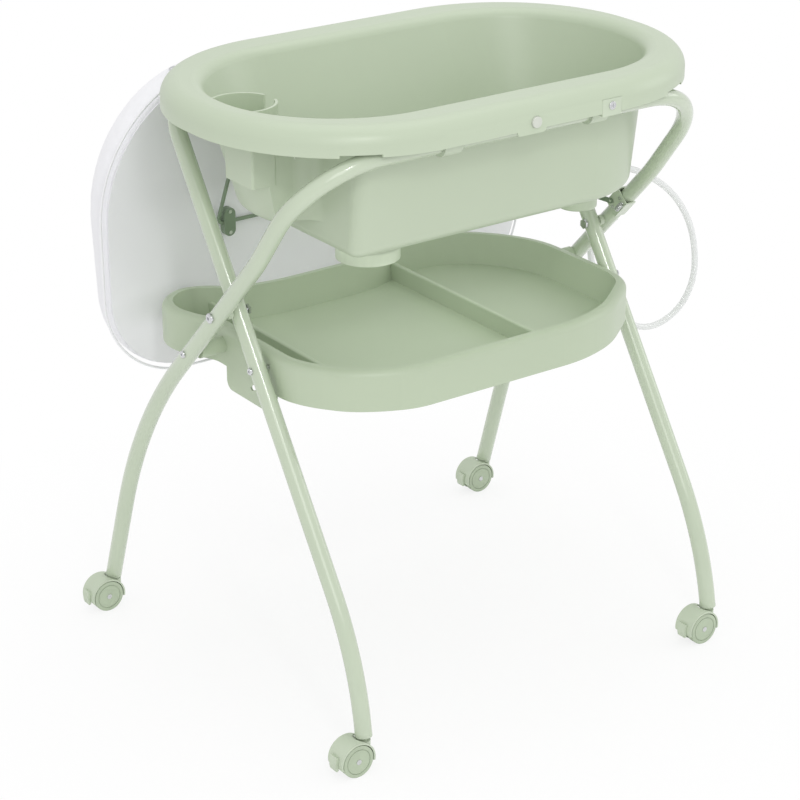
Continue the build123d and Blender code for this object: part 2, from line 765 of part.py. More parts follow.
with BuildPart() as tray_dividers:
    with BuildSketch(Plane.XY.offset(tray_low_z + tray_floor_rise - wall / 2)):
        with Locations((divider_left_x, 0), (divider_right_x, 0)):
            Rectangle(divider_t, tub_width)
    extrude(amount=divider_height)
    fillet(tray_dividers.faces().filter_by(Axis.Z).group_by(Axis.Z)[-1].edges().filter_by(Axis.Y),
           divider_t / 2 - edge_r)
    add(tray_outside.part, mode=Mode.INTERSECT)

with BuildPart() as tray_shell:
    add(tray_outline(tray_low_z, 0))
    extrude(amount=tray_skirt)
    fillet(tray_shell.faces().sort_by(Axis.Z)[-1].edges(), tray_edge_r)
    add(tray_hollow.part, mode=Mode.SUBTRACT)
    add(tray_inside.part, mode=Mode.SUBTRACT)
    add(tray_dividers.part)
    for side in (-1, 1):
        # the ear below the end wall, the bolt boss and the curved slot for the inner frame's bolt
        with BuildSketch(Plane((side * tray_half, ear_y, tray_low_z), x_dir=(0, 1, 0),
                               z_dir=(side, 0, 0))) as ear:
            Rectangle(ear_length, 2 * ear_drop)
            fillet(ear.vertices(), ear_r)
        extrude(amount=-wall)
        boss_end = side * (-outer_at_tray[0] - tube_d / 2 - seat_gap)
        add(rod((side * (tray_half - wall), tray_bolt_y, tray_bolt_z), (boss_end, tray_bolt_y, tray_bolt_z),
                tray_boss_d))
    for side in (-1, 1):
        add(rod((side * (tray_half - wall), outer_at_tray[1], tray_bolt_z),
                (side * tub_length, outer_at_tray[1], tray_bolt_z), bolt_d + 2 * run_gap), mode=Mode.SUBTRACT)
        with BuildSketch(Plane((side * tray_half, 0, 0), x_dir=(0, 1, 0), z_dir=(1, 0, 0))):
            SlotArc(arc=slot_path, height=bolt_d + 2 * slot_gap)
        extrude(amount=wall + overrun, both=True, mode=Mode.SUBTRACT)


# Changing mat: a board with a padded cover that rises to a border round its back
def mat_outline(y, inset):
    """The mat's outline in an upright plane, drawn in by an inset."""
    low, high, half = mat_low_z + inset, mat_top_z - inset, mat_half - inset
    with BuildSketch(Plane((0, y, 0), x_dir=(-1, 0, 0), z_dir=(0, 1, 0))) as outline:
        with BuildLine():
            FilletPolyline((-half, low), (half, low), (half, high), (-half, high),
                           radius=[mat_lower_r - inset, mat_lower_r - inset,
                                   mat_upper_r - inset, mat_upper_r - inset], close=True)
        make_face()
    return outline.sketch


with BuildPart() as mat_pad:
    add(mat_outline(mat_face_y, 0))
    extrude(amount=mat_border_top, dir=(0, 1, 0))
    with BuildSketch(Plane.YZ):
        with BuildLine():
            Polyline((mat_face_y + mat_border_low, mat_low_z), (mat_face_y + mat_border_top, mat_top_z),
                     (mat_face_y + 2 * mat_border_top, mat_top_z), (mat_face_y + 2 * mat_border_top, mat_low_z),
                     close=True)
        make_face()
    extrude(amount=mat_half, both=True, mode=Mode.SUBTRACT)
    add(mat_outline(mat_face_y + mat_panel_t, mat_border_width))
    extrude(amount=mat_border_top, dir=(0, 1, 0), mode=Mode.SUBTRACT)
    rims = mat_pad.faces().group_by(Axis.Y)[-1].edges()
    fillet(rims, mat_edge_r)
    add(mat_outline(mat_face_y + mat_panel_t, mat_border_width + mat_edge_r))
    add(mat_outline(mat_face_y + mat_panel_t + mat_crown, 2 * mat_border_width))
    loft()

with BuildPart() as mat_board:
    add(mat_outline(mat_face_y, mat_edge_r))
    extrude(amount=mat_board_t, dir=(0, -1, 0))

# Wire bail that carries the mat, its pivots behind the rear skirt
bail_half = [
    (-bail_pivot_half, bail_pivot_y, bail_pivot_z),
    (-bail_shoulder_half, bail_pivot_y, bail_pivot_z),
    (-bail_shoulder_half, bail_pivot_y - bail_jog, bail_pivot_z - bail_shoulder_drop),
    (-bail_bar_half, bail_bar_y, bail_bar_z),
]
with BuildPart() as mat_bail:
    add(bent_tube(bail_half + [mirrored(p) for p in bail_half[::-1]], [bail_bend_r] * 6, bail_d))

with BuildPart() as bail_brackets:
    for side in (-1, 1):
        with BuildSketch(Plane((side * bail_bracket_x, rear_face_y, bail_pivot_z - bail_d))):
            Rectangle(bail_bracket_width, bail_pivot_y - rear_face_y + bail_d, align=(Align.CENTER, Align.MIN))
        extrude(amount=skirt_z - bail_pivot_z + bail_d + bail_bracket_rise)
    fillet(bail_brackets.edges().filter_by(Axis.X).group_by(Axis.Y)[-1], wall)
    add(rod((-tub_length, bail_pivot_y, bail_pivot_z), (tub_length, bail_pivot_y, bail_pivot_z),
            bail_d + 2 * run_gap), mode=Mode.SUBTRACT)

clamp_back_y = mat_face_y - mat_board_t
with BuildPart() as mat_clamps:
    for side in (-1, 1):
        with BuildSketch(Plane((side * clamp_x, clamp_back_y, bail_bar_z), x_dir=(1, 0, 0), z_dir=(0, -1, 0))):
            SlotOverall(clamp_length, clamp_width, rotation=90)
        extrude(amount=clamp_t + bail_d)
    fillet(mat_clamps.faces().sort_by(Axis.Y)[:2].edges(), edge_r)
    add(rod((-tub_length, bail_bar_y, bail_bar_z), (tub_length, bail_bar_y, bail_bar_z),
            bail_d + 2 * run_gap), mode=Mode.SUBTRACT)

with BuildPart() as clamp_screws:
    for side in (-1, 1):
        for way in (-1, 1):
            z = bail_bar_z + way * (clamp_length / 2 - clamp_screw_d)
            face_y = clamp_back_y - clamp_t - bail_d
            add(rod((side * clamp_x, face_y - edge_r, z), (side * clamp_x, face_y, z), clamp_screw_d))

with BuildPart() as mat_eyelets:
    for x in mat_eyelet_places:
        lean = asin((x + mat_half - mat_upper_r) / mat_upper_r)
        way = Vector(sin(lean), 0, cos(lean))
        corner = Vector(mat_upper_r - mat_half, mat_face_y + mat_border_top / 2, mat_top_z - mat_upper_r)
        with BuildSketch(Plane(origin=corner + way * mat_upper_r, z_dir=way)):
            Circle(mat_eyelet_d / 2)
            Circle(mat_eyelet_d / 4, mode=Mode.SUBTRACT)
        extrude(amount=edge_r)

# Hose, and the clip that holds its upper end under the rim
hose_points = [tuple(spigot_end)] + hose_route[1:]
hose_radii = []
for i in range(1, len(hose_points) - 1):
    a, b, c = (Vector(*hose_points[j]) for j in (i - 1, i, i + 1))
    turn = radians((b - a).get_angle(c - b))
    hose_radii.append(hose_share * min((b - a).length, (c - b).length) / tan(turn / 2))
print("hose arc radii", [round(r) for r in hose_radii])
with BuildPart() as drain_hose:
    add(bent_tube(hose_points, hose_radii, hose_d, hose_bore))
print("hose length", round(drain_hose.part.volume / (pi * (hose_d ** 2 - hose_bore ** 2) / 4)))

hose_top = Vector(*hose_points[-1])
with BuildPart() as clip_root:
    add(rod(hose_top, (hose_top.X, hose_top.Y, rim_top_z), hose_d + 2 * hose_clip_wall))
    add(rim_hollow.part, mode=Mode.INTERSECT)

with BuildPart() as hose_clip:
    with BuildSketch(Plane(hose_top)):
        Circle(hose_d / 2 + hose_clip_wall)
    extrude(amount=skirt_z - hose_top.Z)
    add(rod(hose_top, (hose_top.X, hose_top.Y, rim_top_z), hose_d + 2 * hose_clip_wall))
    with BuildSketch(Plane.XY.offset(skirt_z)):
        with Locations((hose_top.X, hose_top.Y)):
            Rectangle(tube_d, tube_d)
    extrude(amount=skirt_depth, mode=Mode.SUBTRACT)
    add(clip_root.part)
    with BuildSketch(Plane(hose_top)):
        Circle(hose_bore / 2)
    extrude(amount=hose_clip_length, mode=Mode.SUBTRACT)


# Casters
def caster_hood(x, y):
    """A twin-wheel hood that trails towards -X, with its stem."""
    cx, cz = x - caster_trail, wheel_d / 2
    width = 2 * wheel_t + wheel_web
    with BuildPart() as hood:
        with BuildSketch(Plane((cx, y, cz), x_dir=(1, 0, 0), z_dir=(0, -1, 0))):
            Circle(wheel_d / 2 + hood_gap + hood_t)
            Circle(wheel_d / 2 + hood_gap, mode=Mode.SUBTRACT)
            with Locations((-wheel_d, -wheel_d)):
                Rectangle(3 * wheel_d, wheel_d + hood_low, align=(Align.MIN, Align.MIN), mode=Mode.SUBTRACT)
        extrude(amount=width / 2, both=True)
        with BuildSketch(Plane((cx, y, cz), x_dir=(1, 0, 0), z_dir=(0, -1, 0))):
            Circle(wheel_d / 2 + hood_gap + hood_t / 2)
            with Locations((-wheel_d, -wheel_d)):
                Rectangle(3 * wheel_d, wheel_d - hub_drop, align=(Align.MIN, Align.MIN), mode=Mode.SUBTRACT)
        extrude(amount=wheel_web / 2 - seat_gap, both=True)
        with BuildSketch(Plane((x, y, cz))):
            Circle(hood_boss_d / 2)
        extrude(amount=hood_boss_z - cz)
        for way in (-1, 1):
            add(rod((cx, y + way * (wheel_web / 2 - seat_gap), cz),
                    (cx, y + way * (width / 2 + overrun), cz),
                    wheel_d + 2 * hood_gap), mode=Mode.SUBTRACT)
        add(rod((cx, y - width, cz), (cx, y + width, cz), axle_d + 2 * run_gap), mode=Mode.SUBTRACT)
        add(rod((x, y, hood_boss_z), (x, y, tube_end_z + stem_rise), 2 * hood_recess_r), mode=Mode.SUBTRACT)
        add(rod((x, y, hood_boss_z - wall), (x, y, tube_end_z + stem_rise), stem_d))
    return hood.part


def caster_wheels(x, y):
    """Two grooved discs on either side of the hood's web."""
    cx, cz = x - caster_trail, wheel_d / 2
    with BuildPart() as wheels:
        for way in (-1, 1):
            with BuildSketch(Plane((cx, y + way * wheel_web / 2, cz), z_dir=(0, way, 0))):
                Circle(wheel_d / 2)
                Circle(axle_d / 2, mode=Mode.SUBTRACT)
            extrude(amount=wheel_t)
        fillet(wheels.edges().filter_by(GeomType.CIRCLE).filter_by(
            lambda edge: edge.radius > axle_d), edge_r)
        for way in (-1, 1):
            with BuildSketch(Plane((cx, y + way * (wheel_web / 2 + wheel_t), cz), z_dir=(0, -way, 0))):
                Circle(wheel_d * groove_share / 2)
                Circle(wheel_d * groove_share / 2 - edge_r, mode=Mode.SUBTRACT)
            extrude(amount=edge_r, mode=Mode.SUBTRACT)
    return wheels.part


def caster_axle(x, y):
    cx, cz = x - caster_trail, wheel_d / 2
    reach = wheel_web / 2 + wheel_t
    with BuildPart() as axle:
        add(rod((cx, y - reach, cz), (cx, y + reach, cz), axle_d))
        for way in (-1, 1):
            add(rod((cx, y + way * reach, cz), (cx, y + way * (reach + edge_r), cz), axle_d + 2 * edge_r))
    return axle.part


def brake_lever(x, y):
    """The toe lever on the trailing side of the hood."""
    cx, cz = x - caster_trail, wheel_d / 2
    outer = wheel_d / 2 + hood_gap + hood_t + seat_gap
    with BuildPart() as lever:
        with BuildSketch(Plane((cx, y, cz), x_dir=(1, 0, 0), z_dir=(0, -1, 0))):
            Circle(outer + brake_t)
            Circle(outer, mode=Mode.SUBTRACT)
            Rectangle(3 * wheel_d, wheel_d, rotation=brake_high_angle,
                      align=(Align.CENTER, Align.MIN), mode=Mode.SUBTRACT)
            Rectangle(3 * wheel_d, wheel_d, rotation=brake_low_angle,
                      align=(Align.CENTER, Align.MAX), mode=Mode.SUBTRACT)
        extrude(amount=brake_width / 2, both=True)
    return lever.part


caster_parts = {}
for place, x, y in (("front_left", -inner_foot_half, -foot_y), ("front_right", inner_foot_half, -foot_y),
                    ("rear_left", -outer_foot_half, foot_y), ("rear_right", outer_foot_half, foot_y)):
    with BuildPart() as hood:
        add(caster_hood(x, y))
    with BuildPart() as wheels:
        add(caster_wheels(x, y))
    with BuildPart() as axle:
        add(caster_axle(x, y))
    with BuildPart() as lever:
        add(brake_lever(x, y))
    caster_parts["caster_hood_" + place] = hood
    caster_parts["caster_wheels_" + place] = wheels
    caster_parts["caster_axle_" + place] = axle
    caster_parts["caster_brake_" + place] = lever

pieces = {
    "tub_shell": tub_shell, "drain_cup": drain_cup, "drain_plug": drain_plug,
    "front_button": front_button, "tub_hinge_clips": tub_hinge_clips, "hinge_screw": hinge_screw,
    "outer_frame_tube": outer_frame_tube, "inner_frame_bar": inner_frame_bar, "leg_spigots": leg_spigots,
    "outer_leg_plugs": outer_leg_plugs, "inner_leg_plugs": inner_leg_plugs,
    "pivot_bolts": pivot_bolts, "pivot_nuts": pivot_nuts, "pivot_spacers": pivot_spacers,
    "tray_bolts_outer": tray_bolts_outer, "tray_bolts_inner": tray_bolts_inner, "tray_nuts": tray_nuts,
    "tray_shell": tray_shell, "mat_pad": mat_pad, "mat_board": mat_board, "mat_bail": mat_bail,
    "bail_brackets": bail_brackets, "mat_clamps": mat_clamps, "clamp_screws": clamp_screws,
    "mat_eyelets": mat_eyelets, "drain_hose": drain_hose, "hose_clip": hose_clip,
    "latch_bracket": latch_bracket, "latch_arm": latch_arm, "latch_spring": latch_spring,
    "latch_rivets": latch_rivets,
}
pieces.update(leg_parts)
pieces.update(caster_parts)
for name, piece in pieces.items():
    piece.part.label = name
    export_step(piece.part, "parts/" + name + ".step")
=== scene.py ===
# %% [markdown]
# # A baby bath with a changing mat, dressed for a picture
# The CAD model gives every hard piece its shape and place. Here each piece gets a finish, and the
# soft or flexible pieces are made again: the padded mat, its piping, the drain hose and a spring.
# The whole file works in metres, with +Z up and the front of the bath towards -Y.

import bpy
import numpy as np
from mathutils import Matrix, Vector


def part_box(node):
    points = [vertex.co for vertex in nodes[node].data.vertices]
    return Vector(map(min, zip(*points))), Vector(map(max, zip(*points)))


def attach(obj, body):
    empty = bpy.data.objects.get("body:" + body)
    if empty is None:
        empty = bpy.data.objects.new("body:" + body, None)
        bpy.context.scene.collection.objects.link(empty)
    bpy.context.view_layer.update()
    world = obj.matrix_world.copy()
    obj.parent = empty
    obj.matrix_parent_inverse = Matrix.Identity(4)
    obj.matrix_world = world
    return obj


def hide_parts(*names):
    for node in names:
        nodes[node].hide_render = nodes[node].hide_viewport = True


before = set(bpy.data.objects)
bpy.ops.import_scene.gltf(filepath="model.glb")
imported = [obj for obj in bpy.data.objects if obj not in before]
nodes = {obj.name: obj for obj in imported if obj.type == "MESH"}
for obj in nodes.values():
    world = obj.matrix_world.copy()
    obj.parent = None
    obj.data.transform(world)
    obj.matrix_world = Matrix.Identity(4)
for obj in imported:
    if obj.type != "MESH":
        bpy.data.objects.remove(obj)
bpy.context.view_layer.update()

# %% [markdown]
# ## Camera
# The picture is taken from the front left and from above, with a fairly long lens, so that the
# legs look nearly parallel. A track quaternion turns the camera's -Z at the point it looks at.

# %% Camera
camera_data = bpy.data.cameras.new("camera")
sensor_width, focal_length = 36.0, 106.01
camera_place, camera_target = (-1.93794, -2.65245, 1.81649), (-0.0363, 0.0, 0.381)
camera_data.sensor_width = sensor_width
camera_data.lens = focal_length
camera = bpy.data.objects.new("camera", camera_data)
bpy.context.scene.collection.objects.link(camera)
camera.location = camera_place
aim = Vector(camera_target) - Vector(camera_place)
camera.rotation_euler = aim.to_track_quat("-Z", "Y").to_euler()
bpy.context.scene.camera = camera
print("camera looks over", round(aim.length, 3), "m")

# %% [markdown]
# ## Drain hose
# The real hose is a soft clear tube that leaves the drain's spigot, runs out under the rim, hangs
# in a loop beside the legs and comes back up to a clip. A NURBS curve of order 3 passes smoothly
# by its control points, so a few points along the route are enough, and a round bevel gives it
# its thickness.

# %% Drain hose
hose_diameter = 0.0105
curve_steps, bevel_steps = 10, 6
hose_points = [
    (0.28201, -0.04362, 0.672), (0.32272, -0.01819, 0.672), (0.366, -0.006, 0.674),
    (0.414, 0.008, 0.661), (0.467, 0.020, 0.634), (0.518, 0.034, 0.601), (0.560, 0.046, 0.562),
    (0.594, 0.056, 0.516), (0.617, 0.066, 0.463), (0.628, 0.077, 0.406), (0.615, 0.092, 0.352),
    (0.572, 0.106, 0.322), (0.522, 0.109, 0.334), (0.477, 0.106, 0.372), (0.441, 0.104, 0.420),
    (0.419, 0.101, 0.474), (0.413, 0.098, 0.529), (0.399, 0.096, 0.583), (0.377, 0.093, 0.634),
    (0.363, 0.087, 0.688), (0.361, 0.077, 0.741), (0.360, 0.070, 0.790), (0.360, 0.070, 0.836),
]
hose_curve = bpy.data.curves.new("hose", "CURVE")
hose_curve.dimensions = "3D"
hose_line = hose_curve.splines.new("NURBS")
hose_line.points.add(len(hose_points) - 1)
for point, place in zip(hose_line.points, hose_points):
    point.co = (*place, 1.0)
hose_line.order_u = 3
hose_line.use_endpoint_u = True
hose_line.resolution_u = curve_steps
hose_curve.bevel_depth = hose_diameter / 2
hose_curve.bevel_resolution = bevel_steps
hose_curve.use_fill_caps = True
hose = bpy.data.objects.new("hose", hose_curve)
bpy.context.scene.collection.objects.link(hose)
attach(hose, "bath")
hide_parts("drain_hose")

# %% [markdown]
# ## Colours
# Colours are chosen as they look on a screen, from 0 to 255, and Blender's shaders take them in
# linear light. The sRGB curve turns one into the other.

# %% Screen colours to linear light
def screen(r, g, b):
    """Linear colour: ((c + 0.055) / 1.055) to the power 2.4, where c is the screen value over 255."""
    c = np.array((r, g, b)) / 255.0
    linear = np.where(c <= 0.04045, c / 12.92, ((c + 0.055) / 1.055) ** 2.4)
    return (*[float(v) for v in linear], 1.0)


sage = screen(189, 201, 178)
sage_deep = screen(184, 197, 172)
print("sage in linear light", [round(v, 3) for v in sage[:3]])

# %% [markdown]
# ## Finishes
# Each finish is a small node tree on a Principled shader. Slow noise shifts the colour a little,
# as a large moulding or a coat of paint does, a second noise varies the gloss, and a fine one
# gives the surface its grain through a bump. Everything reads Object coordinates, which stay
# fixed to the piece. Convex edges get a painted highlight: a lighter copy of the colour, mixed in by
# pointiness.

# %% A helper that builds a finish
ramp_low, ramp_high = 0.3, 0.7
# Painted highlight: where pointiness runs from 0.52 to 0.62, convex edges are lightened towards 1.25 times
# the colour.
highlight_from, highlight_to, highlight_lift = 0.52, 0.62, 1.25
smoothest = 0.02
drift_detail, rough_detail, grain_detail = 3.0, 4.0, 2.0


def finish(name, colour, rough, drift=0.03, drift_scale=5.0, rough_range=0.05, rough_scale=14.0,
           grain_scale=900.0, grain=0.0, grain_depth=0.0004, coat=0.0, coat_rough=0.1, metallic=0.0,
           edge_highlight=0.0):
    """Principled surface: colour times 1 +- drift by slow noise, a painted highlight lightening convex
    edges, roughness by faster noise, grain bump.
    """
    material = bpy.data.materials.new(name)
    material.use_nodes = True
    tree = material.node_tree
    shader = tree.nodes["Principled BSDF"]
    coords = tree.nodes.new("ShaderNodeTexCoord")

    def noise(scale, detail):
        """Grey noise on the piece's own coordinates."""
        texture = tree.nodes.new("ShaderNodeTexNoise")
        texture.inputs["Scale"].default_value = scale
        texture.inputs["Detail"].default_value = detail
        tree.links.new(coords.outputs["Object"], texture.inputs["Vector"])
        return texture.outputs["Fac"]

    ramp = tree.nodes.new("ShaderNodeValToRGB")
    for stop, place, share in zip(ramp.color_ramp.elements, (ramp_low, ramp_high), (1 - drift, 1 + drift)):
        stop.position = place
        stop.color = (*[min(1.0, c * share) for c in colour[:3]], 1.0)
    tree.links.new(noise(drift_scale, drift_detail), ramp.inputs["Fac"])
    out = ramp.outputs["Color"]
    # Painted highlight on convex edges: pointiness mixes in a lighter copy of the colour.
    if edge_highlight:
        geometry = tree.nodes.new("ShaderNodeNewGeometry")
        edges = tree.nodes.new("ShaderNodeMapRange")
        edges.inputs["From Min"].default_value = highlight_from
        edges.inputs["From Max"].default_value = highlight_to
        edges.inputs["To Max"].default_value = edge_highlight
        tree.links.new(geometry.outputs["Pointiness"], edges.inputs["Value"])
        mix = tree.nodes.new("ShaderNodeMixRGB")
        mix.inputs["Color2"].default_value = (*[min(1.0, c * highlight_lift) for c in colour[:3]], 1.0)
        tree.links.new(edges.outputs["Result"], mix.inputs["Fac"])
        tree.links.new(out, mix.inputs["Color1"])
        out = mix.outputs["Color"]
    tree.links.new(out, shader.inputs["Base Color"])
    spread = tree.nodes.new("ShaderNodeMapRange")
    spread.inputs["To Min"].default_value = max(smoothest, rough - rough_range)
    spread.inputs["To Max"].default_value = rough + rough_range
    tree.links.new(noise(rough_scale, rough_detail), spread.inputs["Value"])
    tree.links.new(spread.outputs["Result"], shader.inputs["Roughness"])
    if grain:
        bump = tree.nodes.new("ShaderNodeBump")
        bump.inputs["Strength"].default_value = grain
        bump.inputs["Distance"].default_value = grain_depth
        tree.links.new(noise(grain_scale, grain_detail), bump.inputs["Height"])
        tree.links.new(bump.outputs["Normal"], shader.inputs["Normal"])
    shader.inputs["Metallic"].default_value = metallic
    if coat:
        shader.inputs["Coat Weight"].default_value = coat
        shader.inputs["Coat Roughness"].default_value = coat_rough
    return material


def dress(material, *names):
    """The material goes on every slot of the named CAD nodes."""
    for name in names:
        data = nodes[name].data
        data.materials.clear()
        data.materials.append(material)


# %% [markdown]
# ## Moulded plastic
# The bath and the tray are polypropylene mouldings: evenly coloured, with a soft gloss on the
# bath and a duller, faintly textured face on the tray. The small fittings have a fine spark
# texture from their mould.

# %% Moulded pieces
# Each of these finishes lightens its convex edges with a painted highlight.
bath_plastic = finish("bath_plastic", sage, 0.34, drift=0.015, drift_scale=4.0, rough_range=0.05,
                      grain_scale=1400.0, grain=0.05, grain_depth=0.0002, edge_highlight=0.15)
tray_plastic = finish("tray_plastic", sage_deep, 0.36, drift=0.02, drift_scale=5.0,
                      grain_scale=1100.0, grain=0.10, grain_depth=0.0002, edge_highlight=0.15)
fitting_plastic = finish("fitting_plastic", screen(193, 204, 183), 0.45, drift=0.03, drift_scale=30.0,
                         grain_scale=1600.0, grain=0.14, grain_depth=0.0002, edge_highlight=0.2)
wheel_plastic = finish("wheel_plastic", screen(179, 192, 168), 0.5, drift=0.04, drift_scale=40.0,
                       grain_scale=1500.0, grain=0.16, grain_depth=0.0002, edge_highlight=0.25)
button_plastic = finish("button_plastic", screen(206, 210, 200), 0.35, drift=0.02, drift_scale=60.0,
                        grain_scale=2200.0, grain=0.08, grain_depth=0.0001)
corner_names = ["front_left", "front_right", "rear_left", "rear_right"]
dress(bath_plastic, "tub_shell", "drain_cup")
dress(tray_plastic, "tray_shell")
dress(fitting_plastic, "tub_hinge_clips", "bail_brackets", "hose_clip", "outer_leg_plugs",
      "inner_leg_plugs", "drain_plug", "pivot_spacers",
      *["caster_hood_" + corner for corner in corner_names],
      *["caster_brake_" + corner for corner in corner_names])
dress(wheel_plastic, *["caster_wheels_" + corner for corner in corner_names])
dress(button_plastic, "front_button")

# %% [markdown]
# ## Painted tube
# The legs are steel tube under a smooth powder coat in the same green. The coat is a clear, sharp
# gloss over a slightly uneven body, which is the faint orange peel that powder leaves.

# %% Painted pieces
# Both finishes lighten their convex edges with a painted highlight.
frame_paint = finish("frame_paint", screen(192, 204, 181), 0.17, drift=0.02, drift_scale=9.0,
                     rough_range=0.04, grain_scale=420.0, grain=0.10, grain_depth=0.0002,
                     coat=0.9, coat_rough=0.05, edge_highlight=0.1)
dark_rod = finish("dark_green_rod", screen(118, 136, 112), 0.35, drift=0.06, drift_scale=40.0,
                  grain_scale=700.0, grain=0.1, grain_depth=0.0002, coat=0.3, edge_highlight=0.3)
dress(frame_paint, "outer_frame_tube", "inner_frame_bar", "inner_leg_left", "inner_leg_right",
      "latch_bracket")
dress(dark_rod, "mat_bail", "latch_arm", "mat_clamps")

# %% [markdown]
# ## Bright metal
# Bolts, screws, eyelets and the latch's spring are plated steel. Metal has no colour of its own
# below the reflection, so the noise goes into the roughness and leaves thin brushed differences.

# %% Plated pieces
chrome = finish("chrome", screen(216, 217, 219), 0.2, drift=0.05, drift_scale=120.0,
                rough_range=0.09, rough_scale=260.0, grain_scale=1800.0, grain=0.05,
                grain_depth=0.0001, metallic=1.0)
dress(chrome, "hinge_screw", "pivot_bolts", "pivot_nuts", "tray_bolts_outer", "tray_bolts_inner",
      "tray_nuts", "leg_spigots", "clamp_screws", "mat_eyelets", "latch_spring", "latch_rivets",
      *["caster_axle_" + corner for corner in corner_names])

# %% [markdown]
# ## Clear hose
# The hose is milky PVC. A little of the light goes through it and most comes back from its white
# wall, so the shader has a small share of transmission, and a thin gloss lies over it.

# %% Hose finish
hose_clear, hose_index, hose_gloss = 0.15, 1.4, 0.4
hose_plastic = finish("hose_plastic", screen(242, 244, 243), 0.25, drift=0.02, drift_scale=30.0)
hose_shader = hose_plastic.node_tree.nodes["Principled BSDF"]
hose_shader.inputs["Transmission Weight"].default_value = hose_clear
hose_shader.inputs["IOR"].default_value = hose_index
hose_shader.inputs["Coat Weight"].default_value = hose_gloss
hose_curve.materials.append(hose_plastic)

# %% [markdown]
# ## Surfaces from a grid
# The pieces made here are grids of points, worked out all at once. A grid that closes on itself
# joins its last row or column to its first one.

# %% A mesh from a grid of points
def grid_mesh(name, points, wrap_u=False, wrap_v=True):
    """Quads between neighbours of an array of shape (u, v, 3); a wrapped side joins last to first."""
    rows, columns = points.shape[:2]
    u = np.arange(rows if wrap_u else rows - 1)
    v = np.arange(columns if wrap_v else columns - 1)
    iu, iv = [a.ravel() for a in np.meshgrid(u, v, indexing="ij")]
    ju, jv = (iu + 1) % rows, (iv + 1) % columns
    corners = (iu, iv), (ju, iv), (ju, jv), (iu, jv)
    quads = np.stack([row * columns + column for row, column in corners], axis=1)
    mesh = bpy.data.meshes.new(name)
    mesh.from_pydata(points.reshape(-1, 3).tolist(), [], quads.tolist())
    mesh.polygons.foreach_set("use_smooth", np.ones(len(quads), dtype=bool))
    mesh.update()
    piece = bpy.data.objects.new(name, mesh)
    bpy.context.scene.collection.objects.link(piece)
    return piece


def tube_grid(path, radius, sides):
    """Rings of a round section: centre + radius (cos a * n + sin a * b), with n square to the path and Y."""
    ahead = np.roll(path, -1, axis=0) - np.roll(path, 1, axis=0)
    tangent = ahead / np.linalg.norm(ahead, axis=1, keepdims=True)
    side = np.cross(tangent, np.array((0.0, 1.0, 0.0)))
    side /= np.linalg.norm(side, axis=1, keepdims=True)
    other = np.cross(tangent, side)
    angle = np.linspace(0, 2 * np.pi, sides, endpoint=False)[None, :, None]
    return path[:, None] + radius * (np.cos(angle) * side[:, None] + np.sin(angle) * other[:, None])


# %% [markdown]
# ## Changing mat
# The mat is a foam board in a welded, wipe-clean cover: a flat backing, a padded panel and a
# raised border. A cloth simulation with air pressure makes the cover swell between its edges as
# a real one does. The CAD form is remeshed evenly and drawn in a little first, so that the
# swelling is even too, and the face against the backing board is held flat afterwards.

# %% Padded cover
voxel_fine, voxel_coarse = 0.0055, 0.008
drawn_in = 0.0025
pad_mesh = nodes["mat_pad"].data.copy()
mat_cover = bpy.data.objects.new("mat_cover", pad_mesh)
bpy.context.scene.collection.objects.link(mat_cover)
face_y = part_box("mat_pad")[0][1]
remesh = mat_cover.modifiers.new("even", "REMESH")
remesh.mode = "VOXEL"
remesh.voxel_size = voxel_fine
remesh.use_smooth_shade = True


def apply_modifiers(piece):
    """The piece's evaluated mesh takes the place of its own, and its modifiers go."""
    bpy.context.view_layer.update()
    graph = bpy.context.evaluated_depsgraph_get()
    mesh = bpy.data.meshes.new_from_object(piece.evaluated_get(graph))
    piece.modifiers.clear()
    piece.data = mesh
    return mesh


def places(mesh):
    """All points of a mesh as an array of shape (n, 3)."""
    flat = np.empty(len(mesh.vertices) * 3)
    mesh.vertices.foreach_get("co", flat)
    return flat.reshape(-1, 3)


pad_mesh = apply_modifiers(mat_cover)
start = places(pad_mesh)
normals = np.empty(len(pad_mesh.vertices) * 3)
pad_mesh.vertices.foreach_get("normal", normals)
shrunk = start - drawn_in * normals.reshape(-1, 3)
pad_mesh.vertices.foreach_set("co", shrunk.ravel())
pad_mesh.update()
print("cover has", len(start), "points")

# %% [markdown]
# The simulation runs for twenty frames without gravity. No point may move more than a few
# millimetres, which keeps the border's shape, and the backing side goes back to its plane.

# %% Swell the cover
air_force, cloth_quality, last_frame = 4.0, 4, 20
most_shift, least_length, board_gap = 0.006, 1e-9, 0.0003
cloth = mat_cover.modifiers.new("air", "CLOTH")
cloth.settings.use_pressure = True
cloth.settings.uniform_pressure_force = air_force
cloth.settings.effector_weights.gravity = 0.0
cloth.settings.quality = cloth_quality
cloth.point_cache.frame_start = 1
cloth.point_cache.frame_end = last_frame
for number in range(1, last_frame + 1):
    bpy.context.scene.frame_set(number)
pad_mesh = apply_modifiers(mat_cover)
bpy.context.scene.frame_set(1)
swollen = places(pad_mesh)
shift = swollen - shrunk
far = np.linalg.norm(shift, axis=1, keepdims=True)
shift *= np.minimum(1.0, most_shift / np.maximum(far, least_length))
swollen = shrunk + shift
swollen[:, 1] = np.maximum(swollen[:, 1], face_y + board_gap)
pad_mesh.vertices.foreach_set("co", swollen.ravel())
pad_mesh.polygons.foreach_set("use_smooth", np.ones(len(pad_mesh.polygons), dtype=bool))
pad_mesh.update()
mat_cover.data = pad_mesh
smooth = mat_cover.modifiers.new("smooth", "SUBSURF")
smooth.levels = smooth.render_levels = 1
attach(mat_cover, "mat")
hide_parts("mat_pad")

# %% [markdown]
# ## Edge of the mat
# Where the cover is welded to the backing there is a thin raised piping. It follows the mat's
# outline, which is four straight sides joined by round corners, two wide and two tighter.

